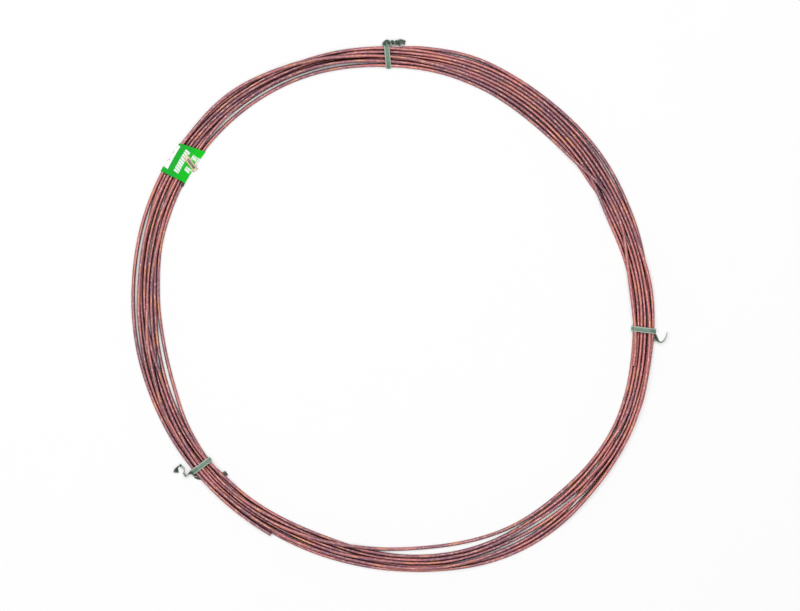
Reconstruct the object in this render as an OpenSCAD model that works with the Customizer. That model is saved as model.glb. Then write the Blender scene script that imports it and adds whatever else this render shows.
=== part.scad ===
// Hank of bare copper wire: a flat round coil held by three twist ties,
// with a printed paper label wrapped round it.
// The coil lies on its side: the floor is Z = 0, and the Z axis is the coil's axis.

/* [Wire] */
// Diameter of the bare wire
wire_d = 2.588; // [2:0.002:3.3]
// Gap between neighbouring turns of the lower layer
turn_gap = 0.3; // [0.1:0.05:0.8]

/* [Coil] */
// Diameter of the coil through the middle of its bundle
coil_mean_d = 377; // [250:1:600]
// Turns that lie side by side in the lower layer
lower_turns = 6; // [6:1:9]
// Turns that ride in every other groove of the lower layer
upper_turns = 2; // [1:1:3]
// Thickness of the web that joins the turns into one turned solid
web_t = 1.2; // [0.6:0.1:1.8]

/* [Twist ties] */
// Width of the ties' flat ribbon
tie_w = 4; // [2.5:0.1:6]
// Thickness of the ties' ribbon
tie_t = 0.5; // [0.3:0.05:1]
// Clearance between a tie and the wire it holds
tie_clearance = 0.15; // [0.05:0.05:0.5]
// Place of the rear tie, in degrees round the coil
rear_tie_angle = 91.5; // [60:0.5:120]
// Place of the right tie, in degrees round the coil
right_tie_angle = -5; // [-40:0.5:30]
// Place of the front left tie, in degrees round the coil
front_tie_angle = 219; // [190:0.5:250]
// Length of the rear tie's twisted ends
knot_l = 12; // [8:0.5:20]
// Turn of the rear tie's twisted ends over their length
knot_twist = 400; // [200:10:900]
// Width across the eye that ends the rear tie's knot
knot_eye_w = 3.4; // [2.5:0.1:5]
// Length that the front tie's tucked end shows inside the coil
tucked_end_l = 3; // [1:0.5:6]

/* [Label] */
// Length of the label along the coil
label_l = 27.5; // [20:0.5:50]
// Thickness of the label's paper
label_t = 0.25; // [0.15:0.05:0.5]
// Clearance between the label and the wire it wraps
label_clearance = 0.15; // [0.05:0.05:0.5]
// Place of the label, in degrees round the coil
label_angle = 145; // [130:0.5:165]

/* [Price sticker] */
// Length of the sticker
sticker_l = 14; // [8:0.5:15]
// Width of the sticker
sticker_w = 4.2; // [3:0.1:8]
// Thickness of the sticker
sticker_t = 0.15; // [0.1:0.05:0.3]
// Turn of the sticker away from straight across the bundle
sticker_skew = 18; // [0:1:30]

/* [Hidden] */

$fn = 96;
wire_r = wire_d / 2;
mean_r = coil_mean_d / 2;
turn_pitch = wire_d + turn_gap;
// Rise of an upper turn that rests in a groove, touching the turn on each side
upper_rise = sqrt(pow(wire_d, 2) - pow(turn_pitch / 2, 2));
// The ties' ribbons lie under the wire, so they set the coil's height off the floor
lower_z = tie_t + tie_clearance + wire_r;

lower_x = [for (i = [0 : lower_turns - 1]) (i - (lower_turns - 1) / 2) * turn_pitch];
// An odd lower layer has its grooves half a pitch off the middle
groove_shift = lower_turns % 2 / 2;
upper_x = [for (i = [0 : upper_turns - 1])
    (2 * i - (upper_turns - 1) + groove_shift) * turn_pitch];

bundle_half_w = lower_x[lower_turns - 1] + wire_r;
tie_face = bundle_half_w + tie_clearance + tie_t;
sticker_glue_line = 0.05;

// Corners of the bundle's cross-section, at the centres of its corner turns
bundle_corners = [[lower_x[0], 0], [lower_x[lower_turns - 1], 0],
                  [upper_x[upper_turns - 1], upper_rise], [upper_x[0], upper_rise]];

// Places something on the bundle at an angle round the coil.
// Its X then points outwards, its Y runs along the wire and its Z is up from the floor.
module on_bundle(angle) {
    rotate(angle) translate([mean_r, 0, 0]) children();
}

// Outline of a wrap pulled taut round the bundle, a set distance off the wire
module taut_outline(distance) {
    translate([0, lower_z]) hull()
        for (corner = bundle_corners) translate(corner) circle(wire_r + distance, $fn = 48);
}

// Cross-section of a wrap of one thickness, a clearance off the wire
module wrap_section(clearance, thickness) {
    difference() {
        taut_outline(clearance + thickness);
        taut_outline(clearance);
    }
}

// A wrap that follows the coil's curve, centred on the X axis
module curved_wrap(clearance, thickness, length) {
    angle = length / mean_r * 180 / PI;
    rotate(-angle / 2) rotate_extrude(angle = angle)
        translate([mean_r, 0]) wrap_section(clearance, thickness);
}

// Section of one turn, round to within a hundredth of its radius. Its narrow flats turn
// into cones, which stay clean where a true ring of this small a section does not.
module wire_section() {
    flats = 24;
    polygon([for (k = [0 : flats - 1])
        wire_r * [cos((k + 0.5) * 360 / flats), sin((k + 0.5) * 360 / flats)]]);
}

// Turned solid: every turn shows as a ridge on the coil's faces and in its bore
module wire_coil() {
    color("#a8776f") rotate_extrude() translate([mean_r, lower_z]) {
        for (x = lower_x) translate([x, 0]) wire_section();
        translate([lower_x[0], -web_t / 2]) square([2 * lower_x[lower_turns - 1], web_t]);
        for (x = upper_x) {
            translate([x, upper_rise]) wire_section();
            polygon([[x - (turn_pitch + web_t) / 2, 0], [x + (turn_pitch + web_t) / 2, 0],
                     [x + web_t / 2, upper_rise], [x - web_t / 2, upper_rise]]);
        }
    }
}

// The run of a tie that goes round the bundle
module tie_band() {
    rotate([90, 0, 0]) linear_extrude(tie_w, center = true)
        wrap_section(tie_clearance, tie_t);
}

// Point on the smooth curve from b to c, with a and d as the points before and after
function curve_point(a, b, c, d, t) =
    (2 * b + (c - a) * t + (2 * a - 5 * b + 4 * c - d) * t * t
     + (3 * b - a - 3 * c + d) * t * t * t) / 2;

ribbon_steps = 4;

// A route's points with smooth steps between them
function smooth_route(route) = let (last = len(route) - 1) [
    for (i = [0 : last - 1], k = [0 : ribbon_steps - 1])
        curve_point(route[max(i - 1, 0)], route[i], route[i + 1],
                    route[min(i + 2, last)], k / ribbon_steps),
    route[last]
];

function xyz(p) = [p.x, p.y, p.z];
function unit(v) = v / norm(v);

// Four corners of the ribbon's section where it passes a point.
// Roll 0 stands the ribbon on its edge, and roll 90 lays it flat.
function ribbon_ring(at, along, roll, thickness) =
    let (side = unit(cross(along, [0, 0, 1])), up = cross(side, along),
         across = (cos(roll) * up + sin(roll) * side) * tie_w / 2,
         through = cross(along, unit(across)) * thickness / 2)
    [at + across + through, at - across + through,
     at - across - through, at + across - through];

// Flat ribbon along a route of [x, y, z, roll] points
module ribbon(route, thickness = tie_t) {
    path = smooth_route(route);
    last = len(path) - 1;
    rings = [for (i = [0 : last]) ribbon_ring(xyz(path[i]),
        unit(xyz(path[min(i + 1, last)]) - xyz(path[max(i - 1, 0)])), path[i][3], thickness)];
    polyhedron(
        points = [for (ring = rings) each ring],
        faces = [
            [0, 1, 2, 3],
            for (i = [0 : last - 1], k = [0 : 3])
                [4 * i + k, 4 * i + 4 + k, 4 * i + 4 + (k + 1) % 4, 4 * i + (k + 1) % 4],
            [for (k = [3 : -1 : 0]) 4 * last + k]
        ],
        convexity = 6);
}

// Height of a ribbon that stands on its edge just clear of the floor
standing_z = tie_w / 2 + 0.3;

// Rear tie: both ends twisted together along the outside of the bundle,
// with the end of one doubled back into an eye
module twist_tie_rear() {
    knot_x = tie_face - tie_t / 2 + tie_w / 2;
    eye_start = -knot_l + 1;
    color("#7f9a86") on_bundle(rear_tie_angle) {
        tie_band();
        ribbon([for (share = [0 : 0.125 : 1])
                [knot_x, tie_w / 2 - knot_l * share, standing_z, 90 + knot_twist * share]],
               thickness = 2 * tie_t);
        ribbon([
            [knot_x, eye_start + tie_w / 2, standing_z, 0],
            [knot_x + knot_eye_w / 2, eye_start - 2, standing_z, 0],
            [knot_x + knot_eye_w / 3, eye_start - 5, standing_z, 0],
            [knot_x - knot_eye_w / 3, eye_start - 5, standing_z, 0],
            [knot_x - knot_eye_w / 2, eye_start - 2, standing_z, 0],
            [knot_x - tie_t, eye_start + 1, standing_z, 0]
        ]);
    }
}

// Right tie: one end peels off the outside of the bundle and curls back
module twist_tie_right() {
    color("#7f9a86") on_bundle(right_tie_angle) {
        tie_band();
        ribbon([
            [tie_face - tie_t / 2, 0, standing_z, 0],
            [tie_face + 0.3, -3.5, standing_z, 0],
            [tie_face + 1.4, -6.6, standing_z, 5],
            [tie_face + 4, -8.2, standing_z, 10],
            [tie_face + 6.6, -6.4, standing_z, 15],
            [tie_face + 7.8, -3.2, standing_z, 15],
            [tie_face + 8.1, -0.4, standing_z, 15]
        ]);
    }
}

// Front tie: one end is crimped into a hook outside the bundle, and the other
// passes under the bundle and shows inside the coil
module twist_tie_front() {
    inner_end = -tie_face - tucked_end_l;
    color("#7f9a86") on_bundle(front_tie_angle) {
        tie_band();
        ribbon([
            [tie_face - tie_t / 2, 0, standing_z, 0],
            [tie_face + 3.6, -0.8, standing_z, 0],
            [tie_face + 7, -1, standing_z, 0],
            [tie_face + 7.6, -3.4, standing_z, 10],
            [tie_face + 5, -5.2, standing_z, 15],
            [tie_face + 4.4, -8, standing_z, 10],
            [tie_face + 5.8, -10.2, standing_z, 5],
            [tie_face + 8.4, -10, standing_z, 0],
            [tie_face + 11.2, -8, standing_z, 0]
        ]);
        linear_extrude(tie_t) polygon([
            [tie_face - 4, 0],
            [tie_face, 0],
            [tie_face, tie_w],
            [inner_end, 4 * tie_w],
            [inner_end - tie_w / 4, 3 * tie_w]
        ]);
    }
}

// Paper label wrapped once round the bundle
module label_band() {
    color("#0faf3c") rotate(label_angle)
        curved_wrap(label_clearance, label_t, label_l);
}

// Small sticker pressed over the top of the label and down its inner side
module price_sticker() {
    color("#d8c49a") intersection() {
        rotate(label_angle)
            curved_wrap(label_clearance + label_t + sticker_glue_line, sticker_t, label_l);
        on_bundle(label_angle) translate([-bundle_half_w / 3, 0, lower_z])
            rotate(-sticker_skew) translate([-sticker_l / 2, -sticker_w / 2, 0])
                cube([sticker_l, sticker_w, upper_rise + wire_d]);
    }
}

wire_coil();
twist_tie_rear();
twist_tie_right();
twist_tie_front();
label_band();
price_sticker();
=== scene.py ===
import math

import bmesh
import bpy
import numpy as np
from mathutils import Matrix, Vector


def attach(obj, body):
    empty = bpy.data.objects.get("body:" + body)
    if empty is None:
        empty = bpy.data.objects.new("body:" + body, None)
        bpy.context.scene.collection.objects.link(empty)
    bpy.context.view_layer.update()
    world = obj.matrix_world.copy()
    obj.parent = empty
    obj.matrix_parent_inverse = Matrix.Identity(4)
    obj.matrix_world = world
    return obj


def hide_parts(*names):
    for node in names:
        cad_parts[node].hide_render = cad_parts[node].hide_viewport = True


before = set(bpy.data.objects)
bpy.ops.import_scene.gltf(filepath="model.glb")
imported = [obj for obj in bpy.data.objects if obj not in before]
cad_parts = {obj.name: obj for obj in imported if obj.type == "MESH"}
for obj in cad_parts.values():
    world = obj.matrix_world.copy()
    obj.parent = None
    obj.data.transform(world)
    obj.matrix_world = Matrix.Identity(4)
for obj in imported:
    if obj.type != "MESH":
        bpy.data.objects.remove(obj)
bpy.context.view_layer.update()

# ---------------------------------------------------------------- Camera
# It hangs straight above the coil, which lies flat on the floor. The long
# lens keeps the whole ring free of perspective.
camera_data = bpy.data.cameras.new("camera_overhead")
camera_data.sensor_width = 36
camera_data.lens = 150
camera = bpy.data.objects.new("camera_overhead", camera_data)
camera.location = (0.0045, 0.0022, 2.503)
bpy.context.scene.collection.objects.link(camera)
bpy.context.scene.camera = camera

# ---------------------------------------------------------------- Copper wire
# One 30 ft length of bare solid 10 AWG wire, wound by hand into a flat hank
# of nearly eight turns. It was cut at both ends, and the turns wander over
# and under each other, because nothing but the ties and the label holds them.
WIRE_D = 0.002588
WIRE_LENGTH = 9.144
# Degrees round the coil at which the wire was cut, counted on from turn to turn
INNER_END, OUTER_END = 346.5, 3121.5
# Handling has pulled the ring a little oval: how far, and where it is longest
RING_R = 0.1885
OVAL = 0.0053
OVAL_AT = 127

# Where each turn bends: degrees round the coil, and how many wires out it lies
# from the ring's middle line. The first bend is the inner cut end.
TURN_BENDS = [
    [(-13.5, -1.9), (10, -2.8), (20, -1.1), (27, -0.9), (38, -3), (47, -3.7), (75, -2.8), (92, -3),
     (110, -2.5), (135, -2.75), (165, -3.2), (189, -4.15), (200, -3.4), (211, -1.7), (228, -0.7),
     (257, -0.5), (270, 0.9), (290, 2.9), (320, 3.1), (350, 2.3)],
    [(0, 2.6), (20, 1.8), (27, 1.9), (38, 2.55), (50, 2.7), (62, 3.05), (85, 2), (110, 1.6), (130, 1.95),
     (155, 1.8), (175, 1.4), (197, 2.55), (215, 2.8), (240, 2.3), (262, 2), (280, 2.7), (300, 4.2),
     (317, 3.3), (335, 2.9), (350, 2)],
    [(0, 1.55), (18, 1.1), (45, 1.5), (62, 1.95), (85, 1), (100, 0.9), (115, 0.6), (135, 0.9),
     (165, 0.3), (180, 0.05), (194, -0.65), (215, 0.05), (230, -0.4), (250, -1.8), (267, -0.85),
     (285, -0.15), (303, -1), (320, 0.3), (337, 1.35), (352, 0.55)],
    [(20, 0.1), (45, 0.2), (66, 1), (85, 0.3), (115, -0.1), (140, -0.1), (155, -0.9), (168, -2.6),
     (177, -3.1), (190, -2.35), (212, -0.9), (230, -1.65), (254, -2.9), (270, -1.8), (290, -1.15),
     (309, -1.55), (320, -1.2), (337, 0), (352, -0.7)],
    [(14, -1.1), (24, -2.1), (34, -0.95), (63, 0), (78, -0.3), (92, -1.15), (115, -0.6), (140, -0.8),
     (160, -1.05), (175, -0.85), (190, 0.45), (205, 1.95), (222, 2.25), (245, 1.7), (263, 1.2),
     (283, 2.2), (308, 1.85), (322, 0.45), (345, -1.3)],
    [(0, -1.5), (22, -2.6), (45, -2.9), (67, -2.05), (92, -1.65), (110, -0.85), (135, -1.1),
     (152, -2.1), (175, -2.15), (187, -1.35), (200, 0.45), (222, 1.5), (245, 0.35), (262, -0.05),
     (282, 0.9), (298, 0.7), (315, 1.4), (332, 2.4), (348, 1.9)],
    [(8, 2), (20, 2.8), (35, 3.8), (60, 3.85), (73, 4.1), (84, 2.8), (94, 1.25), (112, 1.8),
     (129, 2.8), (150, 2.55), (165, 1.4), (182, 0.95), (200, 1.3), (222, 0.95), (240, -0.2),
     (262, -2.85), (275, -3.9), (300, -2.9), (313, -2.8), (321, -2.2), (334, -1.6), (352, -2.5)],
    [(5, -2.6), (23, -3.45), (38, -2.1), (60, -1.2), (90, -0.5), (102, 0.5), (112, 1.6), (128, 3.35),
     (140, 3), (155, 3.4), (172, 3.25), (190, 3.55), (220, 3.35), (241.5, 2.95)],
]
# Stretches where a turn was laid under its neighbours, or over them: the turn,
# and the degrees from and to
LAID_UNDER = [(0, 213, 292), (0, 318, 343), (1, 205, 243), (2, 18, 28), (2, 248, 258),
              (3, 63, 128), (3, 148, 168), (3, 299, 308), (4, 14, 24), (4, 63, 136), (4, 304, 342),
              (4, 348, 398), (5, 328, 372), (6, 78, 137), (6, 160, 218), (6, 350, 365)]
LAID_OVER = [(0, -14, 43), (1, 313, 318), (6, 256, 264), (7, 98, 118)]
# The stiff wire takes some CLIMB degrees to climb over another, by LEVEL_STEP
CLIMB = 12
LEVEL_STEP = 0.9 * WIRE_D
# The ties and the label pass under the wire and lift it a little off the floor:
# at how many degrees, how far to each side, and how high
LIFTED = [(91.4, 3, 0.00066), (355, 3, 0.00066), (222, 5, 0.0007), (145.3, 6, 0.0004)]
# How the wire settles: rounds, the last of them with nothing holding it to its
# course, how far it sinks in each, and how it gives and springs back sideways
ROUNDS, FREE_ROUNDS = 400, 20
SINK = 0.01 * WIRE_D
SIDE_GIVE, SIDE_SPRING = 0.7, 0.85


def smooth_line(bends, where):
    """Smooth line through unevenly spaced bends."""
    at, out = np.array(bends, float).T
    slope = np.gradient(out, at)
    k = np.clip(np.searchsorted(at, where) - 1, 0, len(at) - 2)
    span = at[k + 1] - at[k]
    t = (where - at[k]) / span
    start = (1 + 2 * t) * out[k] + t * span * slope[k]
    end = (3 - 2 * t) * out[k + 1] + (t - 1) * span * slope[k + 1]
    return (1 - t) ** 2 * start + t ** 2 * end


def settle(drawn, one_turn, floor):
    """Lets the wire sink on to what lies under it. Wires that cross each other
    are pushed apart, more up and down than sideways, until they touch, and
    stiffness keeps each stretch smooth."""
    place = drawn.copy()
    for round_number in range(ROUNDS):
        held = round_number < ROUNDS - FREE_ROUNDS
        give = (SIDE_GIVE, 1) if held else (1, 1)
        place[:, 1] -= SINK
        for turns_on in range(1, 8):
            under, over = place[:-one_turn * turns_on], place[one_turn * turns_on:]
            gap = over - under
            apart = np.hypot(*gap.T)[:, None]
            push = gap * np.maximum(WIRE_D / apart - 1, 0) / 2 * give
            under -= push
            over += push
        shift = place - drawn
        smooth = shift.copy()
        smooth[1:-1] = (shift[:-2] + 2 * shift[1:-1] + shift[2:]) / 4
        if held:
            smooth[:, 0] *= SIDE_SPRING
        place = drawn + smooth
        place[:, 1] = np.maximum(place[:, 1], floor)
    return place


wire_degrees = np.arange(INNER_END, OUTER_END + 0.1)
bends = [(360 * (turn + 1) + degrees, out)
         for turn, turn_bends in enumerate(TURN_BENDS) for degrees, out in turn_bends]
middle_line = RING_R + OVAL * np.cos(np.radians(2 * (wire_degrees - OVAL_AT)))
level = np.ones(len(wire_degrees))
for stretches, change in ((LAID_UNDER, -1), (LAID_OVER, 1)):
    for turn, first, last in stretches:
        since_turn = wire_degrees - 360 * (turn + 1)
        level[(since_turn >= first) & (since_turn <= last)] += change
ramp = np.hanning(2 * CLIMB + 3)
level = np.convolve(np.pad(level, CLIMB + 1, "edge"), ramp / ramp.sum(), "valid")
drawn = np.column_stack([middle_line + WIRE_D * smooth_line(bends, wire_degrees),
                         LEVEL_STEP * level])
wire_floor = WIRE_D / 2 + sum(
    lift * np.exp(-((wire_degrees - held + 180) % 360 - 180) ** 2 / 2 / spread ** 2)
    for held, spread, lift in LIFTED)
drawn[:, 1] += wire_floor
wire_place = settle(drawn, 360, wire_floor)

turn = np.radians(wire_degrees)
wire_points = np.column_stack([wire_place[:, 0] * np.cos(turn),
                               wire_place[:, 0] * np.sin(turn), wire_place[:, 1]])
wire_curve = bpy.data.curves.new("copper_wire", "CURVE")
wire_curve.dimensions = "3D"
wire_curve.bevel_depth = WIRE_D / 2
wire_curve.bevel_resolution = 5
wire_curve.use_fill_caps = True
wire_line = wire_curve.splines.new("POLY")
wire_line.points.add(len(wire_points) - 1)
wire_line.points.foreach_set("co", np.column_stack([wire_points, np.ones(len(wire_points))]).ravel())
wire_line.use_smooth = True
copper_wire = bpy.data.objects.new("copper_wire", wire_curve)
bpy.context.scene.collection.objects.link(copper_wire)


def blank_material(name):
    """New material: itself, its node tree and its shader."""
    material = bpy.data.materials.new(name)
    material.use_nodes = True
    return material, material.node_tree, material.node_tree.nodes["Principled BSDF"]


def add_node(tree, kind, inputs=(), **settings):
    """Node with its inputs filled, each from a socket or a plain value."""
    node = tree.nodes.new("ShaderNode" + kind)
    for setting, value in settings.items():
        setattr(node, setting, value)
    for key, value in dict(inputs).items():
        if isinstance(value, bpy.types.NodeSocket):
            tree.links.new(value, node.inputs[key])
        else:
            node.inputs[key].default_value = value
    return node


def calc(tree, operation, first, second=0.0):
    return add_node(tree, "Math", {0: first, 1: second}, operation=operation).outputs[0]


def noise(tree, vector, scale, detail=2.0, roughness=0.5):
    values = {"Vector": vector, "Scale": scale, "Detail": detail, "Roughness": roughness}
    return add_node(tree, "TexNoise", values).outputs["Fac"]


def step_between(tree, value, low, high):
    """0 below low, 1 above high and a soft step between them."""
    values = {"Value": value, "From Min": low, "From Max": high}
    return add_node(tree, "MapRange", values, interpolation_type="SMOOTHSTEP").outputs["Result"]


def tint(tree, share, below, above):
    """Colour that goes from one to the other as share goes from 0 to 1."""
    values = {"Factor": share, "A": below, "B": above}
    node = add_node(tree, "Mix", data_type="RGBA")
    for key, value in values.items():
        socket = [each for each in node.inputs if each.enabled and each.name == key][0]
        if isinstance(value, bpy.types.NodeSocket):
            tree.links.new(value, socket)
        else:
            socket.default_value = value if key == "Factor" else (*value, 1)
    return [each for each in node.outputs if each.enabled][0]


# Drawn copper that has lain in the open: mauve-brown tarnish, brighter orange
# where it was rubbed, fine die lines that run along the wire, and pale flecks,
# partly bright bare metal and partly painted glints. The grooves between the
# turns, and the turns that lie deep under others, are painted a dark maroon as
# painted shade.
MAUVE_TARNISH, ROSE_COPPER = (0.285, 0.138, 0.178), (0.55, 0.2, 0.205)
RUBBED_ORANGE, PALE_FLECK_GLINT = (0.68, 0.29, 0.15), (0.8, 0.52, 0.49)
DIE_LINE_BROWN, GROOVE_SHADE_MAROON = (0.09, 0.02, 0.022), (0.034, 0.0015, 0.002)
GROOVE_SHADE_REACH = 0.004
copper, tree, shader = blank_material("bare_copper")
spot = add_node(tree, "SeparateXYZ", {0: add_node(tree, "TexCoord").outputs["UV"]})
metres = calc(tree, "MULTIPLY", spot.outputs[0], WIRE_LENGTH)
round_it = calc(tree, "MULTIPLY", spot.outputs[1], 2 * math.pi)
side = calc(tree, "COSINE", round_it), calc(tree, "SINE", round_it)
skin = {}
for name, along_scale, round_scale in [("patch", 26, 0.35), ("blush", 95, 0.8),
                                       ("streak", 45, 2.6), ("fleck", 420, 1.3)]:
    skin[name] = add_node(tree, "CombineXYZ", {
        0: calc(tree, "MULTIPLY", metres, along_scale),
        1: calc(tree, "MULTIPLY", side[0], round_scale),
        2: calc(tree, "MULTIPLY", side[1], round_scale)}).outputs[0]
patches = noise(tree, skin["patch"], 1, 3, 0.6)
blushes = noise(tree, skin["blush"], 1, 3, 0.6)
streaks = noise(tree, skin["streak"], 2, 4, 0.6)
flecks = noise(tree, skin["fleck"], 1, 2, 0.6)
region = noise(tree, add_node(tree, "TexCoord").outputs["Object"], 9, 2)
dull = calc(tree, "ADD", calc(tree, "MULTIPLY", patches, 0.6), calc(tree, "MULTIPLY", region, 0.4))
colour = tint(tree, step_between(tree, dull, 0.44, 0.56), MAUVE_TARNISH, ROSE_COPPER)
colour = tint(tree, calc(tree, "MULTIPLY", step_between(tree, blushes, 0.51, 0.66), 0.85),
              colour, RUBBED_ORANGE)
colour = tint(tree, calc(tree, "MULTIPLY", step_between(tree, streaks, 0.5, 0.75), 0.6),
              colour, DIE_LINE_BROWN)
# Pale flecks: partly bright bare metal, partly painted glints.
colour = tint(tree, calc(tree, "MULTIPLY", step_between(tree, flecks, 0.5, 0.7), 0.65),
              colour, PALE_FLECK_GLINT)
# Painted shade: grooves between the turns and turns deep under others go dark maroon.
groove_shade = add_node(tree, "AmbientOcclusion", {"Distance": GROOVE_SHADE_REACH}, samples=8).outputs["AO"]
colour = tint(tree, calc(tree, "MULTIPLY", step_between(tree, groove_shade, 0.76, 0.4), 0.97),
              colour, GROOVE_SHADE_MAROON)
tree.links.new(colour, shader.inputs["Base Color"])
shader.inputs["Metallic"].default_value = 0.6
shader.inputs["Specular IOR Level"].default_value = 0.25
shader.inputs["Specular Tint"].default_value = (0.7, 0.28, 0.28, 1)
rough = add_node(tree, "MapRange", {"Value": streaks, "To Min": 0.42, "To Max": 0.6})
tree.links.new(rough.outputs["Result"], shader.inputs["Roughness"])
die_lines = add_node(tree, "Bump", {"Height": streaks, "Strength": 0.2, "Distance": 0.0001})
tree.links.new(die_lines.outputs["Normal"], shader.inputs["Normal"])
wire_curve.materials.append(copper)
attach(copper_wire, "root")
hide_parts("wire_coil")

# ---------------------------------------------------------------- Twist ties
# Each is a flat strip of grey-green plastic with a soft iron wire moulded
# along its middle, wrapped once round the bundle by hand. Its ends are
# twisted together, curled back or bent into a hook.
TIE_STEP = 0.0004
# How far the strip's middle lies off the wire, and how far it bows out at the sides
TIE_CORE = 0.00032
TIE_BULGE = 0.0009
# Half the strip's section in millimetres, from edge to edge over the wire core
TIE_PROFILE = [(-2, 0), (-1.88, 0.14), (-0.8, 0.15), (-0.42, 0.26), (0, 0.31),
               (0.42, 0.26), (0.8, 0.15), (1.88, 0.14)]
tie_section = np.array(TIE_PROFILE + [(-x, -y) for x, y in TIE_PROFILE]) / 1000


def between_marks(marks, place):
    """Smooth curve through evenly spaced marks, at fractional places along them."""
    marks = np.array([marks[0], *marks, marks[-1]], float)
    before = np.clip(np.floor(place).astype(int), 0, len(marks) - 4) + 1
    t = (place + 1 - before)[:, None]
    a, b, c, d = (marks[before + k] for k in (-1, 0, 1, 2))
    return b + t / 2 * (c - a + t * (2 * a - 5 * b + 4 * c - d + t * (3 * b - a - 3 * c + d)))


def bundle_section(degrees):
    """Centres of the wires that pass at an angle: distance from the axis, and height."""
    passes = degrees + 360 * np.arange(10)
    passes = passes[(passes >= INNER_END) & (passes <= OUTER_END)]
    return np.column_stack([np.interp(passes, wire_degrees, wire_place[:, k]) for k in (0, 1)])


def taut_wrap(degrees, clearance, start, end, bulge=0.0):
    """Line pulled taut round the bundle, as places and the way each one faces.
    It faces outwards at 0 degrees, up at 90 and in towards the axis at 180."""
    lean = np.radians(np.linspace(start, end, 241))
    facing = np.column_stack([np.cos(lean), np.sin(lean)])
    wires = bundle_section(degrees)
    touched = wires[np.argmax(facing @ wires.T, axis=1)]
    slack = clearance + bulge * facing[:, :1] ** 2
    return touched + facing * (WIRE_D / 2 + slack), facing


def even_steps(route, step):
    """The same route with its points a fixed step apart."""
    run = np.append(0, np.cumsum(np.linalg.norm(np.diff(route[:, :3], axis=0), axis=1)))
    places = np.linspace(0, run[-1], int(run[-1] / step) + 1)
    return np.column_stack([np.interp(places, run, column) for column in route.T])


def softened(route, rounds):
    for _ in range(rounds):
        route[1:-1] = (route[:-2] + 2 * route[1:-1] + route[2:]) / 4
    return route


def on_ring(degrees, places):
    """Takes (out, along, up) at an angle of the ring to the row frame."""
    a = math.radians(degrees)
    out, along, up = places.T
    return np.column_stack([out * math.cos(a) - along * math.sin(a),
                            out * math.sin(a) + along * math.cos(a), up])


def finished(name, bm, material, node):
    """Makes the mesh a piece of the part, in place of its plain solid."""
    mesh = bpy.data.meshes.new(name)
    bm.to_mesh(mesh)
    bm.free()
    mesh.shade_smooth()
    mesh.materials.append(material)
    piece = bpy.data.objects.new(name, mesh)
    bpy.context.scene.collection.objects.link(piece)
    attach(piece, "root")
    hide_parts(node)
    return piece


def swept_strip(route, section):
    """Strip whose section is carried along a route of places and facings. U runs
    across the strip and back, V along it, and "free" is 1 where it lies free."""
    places, facing = route[:, :3], route[:, 3:6]
    along = np.gradient(places, axis=0)
    along /= np.linalg.norm(along, axis=1)[:, None]
    across = np.cross(along, facing)
    across /= np.linalg.norm(across, axis=1)[:, None]
    facing = np.cross(across, along)
    loop = np.vstack([section, section[:1]])
    rings = (places[:, None] + across[:, None] * loop[:, :1] + facing[:, None] * loop[:, 1:])
    bm = bmesh.new()
    bm.loops.layers.uv.new("UVMap")
    bmesh.ops.create_grid(bm, x_segments=len(section), y_segments=len(route) - 1,
                          calc_uvs=True)
    free = bm.verts.layers.float.new("free")
    for vertex, place, share in zip(bm.verts, rings.reshape(-1, 3),
                                    np.repeat(route[:, 6], len(loop))):
        vertex.co = place
        vertex[free] = share
    bmesh.ops.remove_doubles(bm, verts=bm.verts, dist=1e-7)
    bmesh.ops.holes_fill(bm, edges=bm.edges)
    bmesh.ops.recalc_face_normals(bm, faces=bm.faces)
    return bm


def tie_route(degrees, wrap, slope, first_end, second_end):
    """Route of one tie: its first end, its turn round the bundle, its second end.
    An end's marks are millimetres out from the ring's middle, along it and up,
    and the way the strip faces there."""
    places, facing = taut_wrap(degrees, TIE_CORE, *wrap, bulge=TIE_BULGE)
    flat = np.zeros(len(places))
    band = np.column_stack([places[:, 0], (places[:, 0] - RING_R) * slope, places[:, 1],
                            facing[:, 0], flat, facing[:, 1], flat])
    parts = [band]
    for marks in (first_end, second_end):
        marks = np.array(marks, float) * ([0.001] * 3 + [1] * 3) + [RING_R, 0, 0, 0, 0, 0]
        end = between_marks(marks, np.linspace(0, len(marks) - 1, 8 * len(marks)))
        parts.append(np.column_stack([end, np.ones(len(end))]))
    route = softened(even_steps(np.vstack([parts[1], band, parts[2]]), TIE_STEP), 6)
    return np.hstack([on_ring(degrees, route[:, :3]), on_ring(degrees, route[:, 3:6]), route[:, 6:]])


# Soft plastic, paler along its thin edges, partly because the plastic is thinner
# there and partly as a painted highlight where the edges catch the light; rubbed and
# scuffed along the top of the wire core. The free ends, twisted and folded, are
# painted darker as painted shade.
TIE_GREEN, TIE_EDGE_TONE_AND_HIGHLIGHT, TIE_RUBBED = (0.12, 0.21, 0.15), (0.56, 0.66, 0.56), (0.24, 0.33, 0.26)
TIE_GRIME, TIE_FOLD_SHADE = (0.07, 0.1, 0.07), (0.022, 0.04, 0.024)
tie_plastic, tree, shader = blank_material("tie_plastic")
texture = add_node(tree, "TexCoord")
spot = add_node(tree, "SeparateXYZ", {0: texture.outputs["UV"]})
from_edge = calc(tree, "PINGPONG", spot.outputs[0], 0.25)
mottle = noise(tree, texture.outputs["Object"], 700, 4, 0.65)
grime = noise(tree, texture.outputs["Object"], 2600, 3, 0.6)
# Pale edges: partly thinner plastic and partly a painted highlight where the edges catch the light.
colour = tint(tree, step_between(tree, from_edge, 0.055, 0.12), TIE_EDGE_TONE_AND_HIGHLIGHT, TIE_GREEN)
colour = tint(tree, calc(tree, "MULTIPLY", step_between(tree, mottle, 0.45, 0.7), 0.5),
              colour, TIE_RUBBED)
colour = tint(tree, calc(tree, "MULTIPLY", step_between(tree, grime, 0.52, 0.7), 0.45),
              colour, TIE_GRIME)
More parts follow.
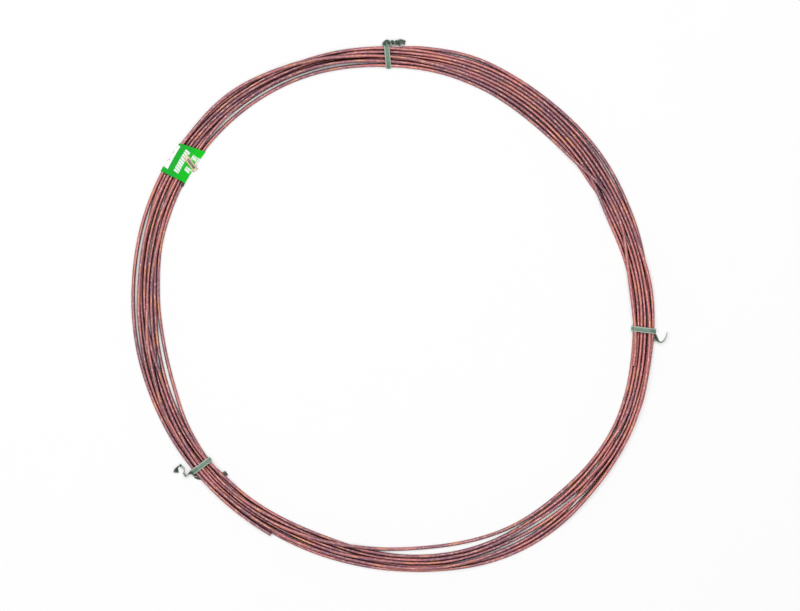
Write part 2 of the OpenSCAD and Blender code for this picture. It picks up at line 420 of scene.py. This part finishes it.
# Painted shade: the free ends, twisted and folded, are painted darker.
free_end = add_node(tree, "Attribute", attribute_name="free").outputs["Fac"]
fold_shade = calc(tree, "MULTIPLY", step_between(tree, free_end, 0.3, 1),
               step_between(tree, from_edge, 0.03, 0.11))
colour = tint(tree, calc(tree, "MULTIPLY", fold_shade, 0.85), colour, TIE_FOLD_SHADE)
tree.links.new(colour, shader.inputs["Base Color"])
shader.inputs["Roughness"].default_value = 0.38
drawn_lines = add_node(tree, "CombineXYZ", {0: calc(tree, "MULTIPLY", spot.outputs[0], 60),
                                            1: calc(tree, "MULTIPLY", spot.outputs[1], 8)})
scuffs = calc(tree, "ADD", noise(tree, drawn_lines.outputs[0], 1, 3), mottle)
scuffed = add_node(tree, "Bump", {"Height": scuffs, "Strength": 0.4, "Distance": 0.0001})
tree.links.new(scuffed.outputs["Normal"], shader.inputs["Normal"])

# The rear tie's ends are twisted round each other, back to back: how far round
# in degrees, and in millimetres over what length and how far apart
KNOT_TWIST, KNOT_LENGTH, KNOT_GAP = 400, 7, 0.8
knot = []
for share in np.linspace(0, 1, 11):
    around = math.radians(90 + KNOT_TWIST * share)
    facing = np.array([math.cos(around), 0, math.sin(around)])
    middle = np.array([11.2 - 0.3 * share, -0.6 - KNOT_LENGTH * share, 2.9])
    knot.append((middle, facing))
upper = [(*(middle + KNOT_GAP / 2 * facing), *facing) for middle, facing in knot]
lower = [(*(middle - KNOT_GAP / 2 * facing), *-facing) for middle, facing in knot]
rear = tie_route(
    91.45, (50, 305), 0.06,
    first_end=[(10.4, -13.4, 2.4, 0.2, 0, 1), (11.0, -11.6, 2.8, 0.2, 0, 1),
               (11.5, -9.6, 3.0, -0.2, 0, 1), *upper[::-1],
               (11.6, 1.2, 3.5, 0.5, 0.4, 0.7), (10.8, 2.4, 4.2, 0.6, 0.5, 0.5),
               (9.4, 1.7, 5.0, 0.7, 0.2, 0.6)],
    second_end=[(9.2, 0.5, 0.9, 0.6, 0, -0.8), (10.8, 1.4, 1.3, 0.6, 0.4, -0.7),
                (11.5, 1.2, 1.9, 0.3, 0.6, -0.7), *lower,
                (10.3, -8.6, 2.2, 0.6, 0, -0.8), (9.9, -10, 1.7, 0.5, 0, -0.85)])
finished("twist_tie_rear_strip", swept_strip(rear, tie_section),
         tie_plastic, "twist_tie_rear")

# The right tie's loose end peels out from under the bundle and curls back on edge
right = tie_route(
    -4.93, (-100, -400), -0.04,
    first_end=[(17.2, -0.4, 2.1, 1, 0, 0), (16.9, -3, 2.1, 0.95, -0.3, 0),
               (15.6, -6.3, 2.1, 0.7, -0.7, -0.1), (13.2, -8.3, 2.1, 0, -1, -0.2),
               (10.9, -7.4, 1.7, -0.3, -0.85, -0.4), (8.7, -4.6, 0.9, -0.2, -0.4, -0.8),
               (6.4, -1.4, 0.4, 0, 0, -1)],
    second_end=[(6.6, 0, 1.2, 0.5, 0, -0.85)])
finished("twist_tie_right_strip", swept_strip(right, tie_section),
         tie_plastic, "twist_tie_right")

# One end of the front tie is bent into a hook outside the bundle. The other
# folds back and passes slantwise under the bundle, to show inside the coil.
front = tie_route(
    219.2, (60, 262), -0.045,
    first_end=[(16.1, -7.9, 2.2, 0.5, 0.6, 0.6), (14.4, -9.6, 2.2, 0.3, 0.7, 0.5),
               (12.4, -10.4, 2.2, 0, 1, 0.3), (10.2, -10, 2.1, -0.7, 0.7, 0.1),
               (9.1, -8, 2.1, -1, 0, 0), (9.8, -5.4, 2.1, -0.5, -0.8, 0),
               (12, -4, 2.1, -0.7, -0.7, 0), (12.7, -1.4, 2.2, -1, 0.2, 0),
               (10.8, -0.9, 2.6, 0, 1, 0.1), (9, -0.8, 3.2, 0.05, 0.95, 0.25),
               (7.4, -0.5, 4, 0.4, 0.3, 0.8), (6.2, -0.3, 4.6, 0.7, 0, 0.7)],
    second_end=[(2, -0.2, 0.33, 0, 0, -1), (5.6, 0.4, 0.7, 0.4, 0, -0.9),
                (7.4, 1.4, 1.7, 0.9, -0.1, -0.3), (7.3, 3.4, 2, 0.9, 0, 0.4),
                (5.6, 5.6, 1.1, 0.5, 0.2, 0.8), (3, 7.4, 0.4, 0, 0, 1),
                (-5, 12.6, 0.33, 0, 0, 1), (-9.4, 15.3, 0.4, 0, 0, 1),
                (-11.8, 16.1, 0.5, -0.1, 0, 1), (-13.3, 16.2, 0.7, -0.2, 0, 1)])
finished("twist_tie_front_strip", swept_strip(front, tie_section),
         tie_plastic, "twist_tie_front")

# ---------------------------------------------------------------- Paper label
# A strip of coated paper, printed green, goes once round the bundle and is
# pressed on to it. Its print is left as plain white bars and panels.
LABEL_T = 0.0002
LABEL_MIDDLE = 145.3
LABEL_SPAN = 8
LABEL_CLEARANCE, LABEL_BULGE = 0.0001, 0.0004
# Where across the label its ends are measured, where its torn tab starts, and how
# far the tab sticks out
LABEL_OUT = 0.1924
TAB_INSIDE, TAB_LENGTH = 0.1848, 0.0034
# Faces along the label and round the bundle
LABEL_ROWS, LABEL_COLUMNS = 56, 140


def label_edge(out, side):
    """How far along the ring the label's upper or lower end lies. Both are cut askew,
    and a torn tab sticks out of the lower one, inside the coil."""
    if side < 0:
        return -0.0136 + 0.31 * (out - LABEL_OUT)
    return 0.0133 + 0.15 * (out - LABEL_OUT) + TAB_LENGTH * (out < TAB_INSIDE)


rings = []
for share in np.linspace(0, 1, LABEL_ROWS + 1):
    outline, _ = taut_wrap(LABEL_MIDDLE + LABEL_SPAN * (share - 0.5), LABEL_CLEARANCE, 0, 360,
                           bulge=LABEL_BULGE)
    outline = even_steps(np.column_stack([outline, np.zeros(len(outline))]), 1e-5)
    outline = outline[np.linspace(0, len(outline) - 1, LABEL_COLUMNS + 1).astype(int), :2]
    out, up = outline.T
    first, last = label_edge(out, -1), label_edge(out, 1)
    along = first + (last - first) * share
    rings.append(np.column_stack([out, along, up]))
rings = np.array(rings)
bm = bmesh.new()
bm.loops.layers.uv.new("UVMap")
bmesh.ops.create_grid(bm, x_segments=LABEL_COLUMNS, y_segments=LABEL_ROWS, calc_uvs=True)
bm.verts.index_update()
angle = math.radians(LABEL_MIDDLE) + rings[:, :, 1] / rings[:, :, 0]
label_places = np.dstack([rings[:, :, 0] * np.cos(angle), rings[:, :, 0] * np.sin(angle),
                          rings[:, :, 2]])
# The print is laid out in millimetres, out from the ring and along it, a little askew
printed = rings[:, :, :2].reshape(-1, 2) * 1000 - (RING_R * 1000, 0)
printed[:, 0] += 0.085 * printed[:, 1]
spread = bm.loops.layers.uv["UVMap"]
for face in bm.faces:
    for corner in face.loops:
        corner[spread].uv = printed[corner.vert.index]
for vertex, place in zip(bm.verts, label_places.reshape(-1, 3)):
    vertex.co = place
bmesh.ops.remove_doubles(bm, verts=bm.verts, dist=1e-7)
bmesh.ops.recalc_face_normals(bm, faces=bm.faces)


def within(tree, value, low, high, soft=0.15):
    """1 from low to high and 0 outside, with soft edges."""
    return calc(tree, "MULTIPLY", step_between(tree, value, low - soft, low + soft),
                step_between(tree, value, high + soft, high - soft))


def panel(tree, out, along, rectangle):
    low_out, high_out, low_along, high_along = rectangle
    return calc(tree, "MULTIPLY", within(tree, out, low_out, high_out),
                within(tree, along, low_along, high_along))


# Green ink on white stock, a little thinner and brighter towards the inside
OUTER_GREEN, INNER_GREEN = (0, 0.43, 0.022), (0, 0.62, 0.006)
DEEP_GREEN, WORN_GREEN = (0, 0.36, 0.016), (0.05, 0.6, 0.08)
WHITE_STOCK, WHITEST_STOCK = (0.9, 0.91, 0.9), (0.96, 0.96, 0.955)
PRINTED_GREY, TAB_SHADE_BLACK = (0.25, 0.22, 0.25), (0.05, 0.055, 0.05)
label_paper, tree, shader = blank_material("label_paper")
texture = add_node(tree, "TexCoord")
spot = add_node(tree, "SeparateXYZ", {0: texture.outputs["UV"]})
out, along = spot.outputs[0], spot.outputs[1]
fibres = noise(tree, texture.outputs["Object"], 2400, 4, 0.7)
cloud = noise(tree, texture.outputs["Object"], 260, 3, 0.6)
ink = tint(tree, step_between(tree, out, 8, -6), OUTER_GREEN, INNER_GREEN)
ink = tint(tree, calc(tree, "MULTIPLY", step_between(tree, cloud, 0.5, 0.75), 0.35),
           ink, DEEP_GREEN)
ink = tint(tree, calc(tree, "MULTIPLY", step_between(tree, fibres, 0.55, 0.8), 0.25),
           ink, WORN_GREEN)
slanted = add_node(tree, "CombineXYZ", {
    0: calc(tree, "ADD", along, calc(tree, "MULTIPLY", out, 0.2)),
    1: calc(tree, "ADD", out, 5)})
blocks = add_node(tree, "TexBrick", {
    "Vector": slanted.outputs[0], "Scale": 1, "Mortar Size": 0.3, "Mortar Smooth": 0.6,
    "Brick Width": 2.1, "Row Height": 40}, offset=0)
rows = calc(tree, "MAXIMUM", panel(tree, out, along, (2.9, 7.1, -9.3, 9)), calc(
    tree, "MAXIMUM", panel(tree, out, along, (-3.9, 0.4, -9, -5.5)),
    panel(tree, out, along, (-3.9, 0.4, 1, 4.5))))
bars = calc(tree, "MULTIPLY", rows, calc(tree, "SUBTRACT", 1, blocks.outputs["Fac"]))
bare = calc(tree, "MAXIMUM", panel(tree, out, along, (11.6, 22, -8.6, 10.6)),
            panel(tree, out, along, (-20, -4.3, -9.4, 2.2)))
stock = tint(tree, cloud, WHITE_STOCK, WHITEST_STOCK)
colour = tint(tree, calc(tree, "MAXIMUM", calc(tree, "MULTIPLY", bars, 0.92), bare), ink, stock)
marks = calc(tree, "MAXIMUM", panel(tree, out, along, (13.3, 14, -3, -1.6)),
             panel(tree, out, along, (13.3, 14, 3.4, 4.8)))
colour = tint(tree, calc(tree, "MULTIPLY", marks, 0.6), colour, PRINTED_GREY)
# Painted shade: the torn tab inside the coil is painted near black.
tab = calc(tree, "MULTIPLY", step_between(tree, along, 12.1, 12.4),
           step_between(tree, out, -1.6, -1.9))
colour = tint(tree, tab, colour, TAB_SHADE_BLACK)
tree.links.new(colour, shader.inputs["Base Color"])
shader.inputs["Specular IOR Level"].default_value = 0.2
gloss = add_node(tree, "MapRange", {"Value": cloud, "To Min": 0.5, "To Max": 0.7})
tree.links.new(gloss.outputs["Result"], shader.inputs["Roughness"])
grain = add_node(tree, "Bump", {"Height": fibres, "Strength": 0.25, "Distance": 0.00005})
tree.links.new(grain.outputs["Normal"], shader.inputs["Normal"])
label_band = finished("label_wrap", bm, label_paper, "label_band")
thickness = label_band.modifiers.new("paper", "SOLIDIFY")
thickness.thickness = LABEL_T
thickness.offset = 1

# ---------------------------------------------------------------- Price sticker
# A small self-adhesive paper sticker, put on askew over the label. It follows
# the label's top, and its last few millimetres have come unstuck.
STICKER_W, STICKER_T = 0.0041, 0.00012
# Ends of its middle line on the label: millimetres out from the ring and along it
STICKER_TOP, STICKER_TIP = (4.9, -4.9), (-7.4, -0.4)
STICKER_CLEARANCE = 0.00045
# How far inside the ring it comes unstuck
UNSTUCK = 0.0052

sticker_route = []
for share in np.linspace(0, 1, 40):
    out, along = (np.array(STICKER_TOP) * (1 - share) + np.array(STICKER_TIP) * share) / 1000
    outline, facing = taut_wrap(LABEL_MIDDLE + math.degrees(along / RING_R),
                                STICKER_CLEARANCE + LABEL_T, 0, 180, bulge=LABEL_BULGE)
    loose = max(-UNSTUCK - out, 0)
    up = np.interp(RING_R + max(out, -UNSTUCK), outline[::-1, 0], outline[::-1, 1])
    sticker_route.append((out, along, up - 0.4 * loose - 60 * loose ** 2,
                          -0.4 * min(loose * 1000, 1), 0, 1, 0))
sticker_route = softened(np.array(sticker_route), 3)
sticker_route[:, 0] += RING_R
edge = np.linspace(-STICKER_W / 2, STICKER_W / 2, 5)
sticker_section = np.vstack([np.column_stack([edge, np.full(5, -STICKER_T / 2)]),
                             np.column_stack([edge[::-1], np.full(5, STICKER_T / 2)])])
sticker_route = np.hstack([on_ring(LABEL_MIDDLE, sticker_route[:, :3]),
                           on_ring(LABEL_MIDDLE, sticker_route[:, 3:6]), sticker_route[:, 6:]])

# Cream paper with a tan line along each long side and a row of plain dark bars
TAN_CREAM, PALE_CREAM = (0.74, 0.62, 0.4), (0.85, 0.78, 0.58)
TAN_LINE, BAR_BLACK = (0.45, 0.3, 0.12), (0.05, 0.042, 0.03)
sticker_paper, tree, shader = blank_material("sticker_paper")
texture = add_node(tree, "TexCoord")
spot = add_node(tree, "SeparateXYZ", {0: texture.outputs["UV"]})
across, along = spot.outputs[0], spot.outputs[1]
fibres = noise(tree, texture.outputs["Object"], 1500, 4, 0.7)
colour = tint(tree, step_between(tree, fibres, 0.35, 0.7), TAN_CREAM, PALE_CREAM)
frame_line = calc(tree, "MAXIMUM", within(tree, across, 0.49, 0.55, 0.01),
                  within(tree, across, 0.85, 0.91, 0.01))
colour = tint(tree, calc(tree, "MULTIPLY", frame_line, 0.75), colour, TAN_LINE)
blocks = add_node(tree, "TexBrick", {
    "Vector": texture.outputs["UV"], "Scale": 1, "Mortar Size": 0.009, "Mortar Smooth": 0.5,
    "Brick Width": 4, "Row Height": 0.075}, offset=0)
bars = calc(tree, "MULTIPLY", within(tree, across, 0.6, 0.8, 0.015),
            within(tree, along, 0.2, 0.86, 0.01))
bars = calc(tree, "MULTIPLY", bars, calc(tree, "SUBTRACT", 1, blocks.outputs["Fac"]))
colour = tint(tree, calc(tree, "MULTIPLY", bars, 0.95), colour, BAR_BLACK)
tree.links.new(colour, shader.inputs["Base Color"])
shader.inputs["Roughness"].default_value = 0.6
grain = add_node(tree, "Bump", {"Height": fibres, "Strength": 0.3, "Distance": 0.00005})
tree.links.new(grain.outputs["Normal"], shader.inputs["Normal"])
finished("sticker_strip", swept_strip(sticker_route, sticker_section),
         sticker_paper, "price_sticker")

# ---------------------------------------------------------------- Floor and light
# A wide sheet of white paper. A little light of its own, seen by the camera
# and by the metal, keeps it white, and it keeps the soft shadow under the coil.
FLOOR_HALF = 3
floor_mesh = bpy.data.meshes.new("studio_floor")
bm = bmesh.new()
bmesh.ops.create_grid(bm, x_segments=1, y_segments=1, size=FLOOR_HALF)
bm.to_mesh(floor_mesh)
bm.free()
studio_floor = bpy.data.objects.new("studio_floor", floor_mesh)
bpy.context.scene.collection.objects.link(studio_floor)

PAPER_WHITE, PAPER_WHITEST = (0.955, 0.955, 0.955), (0.97, 0.97, 0.97)
# Deep in a slit between two turns the paper is painted dark brown: painted shade,
# tinted like the dark, coppery light that reaches it there.
SLIT_SHADE_BROWN = (0.07, 0.012, 0.012)
SLIT_REACH = 0.005
OWN_LIGHT = 0.45
paper, tree, shader = blank_material("white_paper_floor")
cloud = noise(tree, add_node(tree, "TexCoord").outputs["Object"], 30, 3)
open_floor = add_node(tree, "AmbientOcclusion", {"Distance": SLIT_REACH}, samples=8).outputs["AO"]
colour = tint(tree, cloud, PAPER_WHITE, PAPER_WHITEST)
# Painted shade: dark brown where the paper lies deep in a slit.
colour = tint(tree, step_between(tree, open_floor, 0.42, 0.26), colour, SLIT_SHADE_BROWN)
tree.links.new(colour, shader.inputs["Base Color"])
shader.inputs["Roughness"].default_value = 0.9
ray = add_node(tree, "LightPath")
seen = calc(tree, "MAXIMUM", ray.outputs["Is Camera Ray"], calc(
    tree, "MAXIMUM", ray.outputs["Is Glossy Ray"], ray.outputs["Is Transmission Ray"]))
own_light = add_node(tree, "Emission", {"Color": (1, 1, 1, 1), "Strength": 1.0})
share = calc(tree, "MULTIPLY", step_between(tree, open_floor, 0.28, 0.5), OWN_LIGHT)
both = add_node(tree, "MixShader", {0: calc(tree, "MULTIPLY", seen, share),
                                    1: shader.outputs[0], 2: own_light.outputs[0]})
tree.links.new(both.outputs[0], tree.nodes["Material Output"].inputs["Surface"])
floor_mesh.materials.append(paper)

# The room is pale near the horizon and dimmer overhead, where one wide softbox
# hangs above the coil.
world = bpy.data.worlds.new("soft_studio")
world.use_nodes = True
tree = world.node_tree
height = add_node(tree, "SeparateXYZ", {0: add_node(tree, "TexCoord").outputs["Generated"]}).outputs[2]
room = add_node(tree, "MapRange", {"Value": height, "From Min": 0.08, "From Max": 0.3,
                                   "To Min": 1.0, "To Max": 0.12})
tree.nodes["Background"].inputs["Color"].default_value = (1, 1, 1, 1)
tree.links.new(room.outputs["Result"], tree.nodes["Background"].inputs["Strength"])
bpy.context.scene.world = world
lamp_data = bpy.data.lights.new("softbox", "AREA")
lamp_data.size = 3.2
lamp_data.energy = 90
lamp = bpy.data.objects.new("softbox", lamp_data)
lamp.location = (-0.2, 0.3, 2.6)
lamp.rotation_euler = Vector(lamp.location).to_track_quat("Z", "Y").to_euler()
bpy.context.scene.collection.objects.link(lamp)

bpy.context.scene.view_settings.view_transform = "Standard"
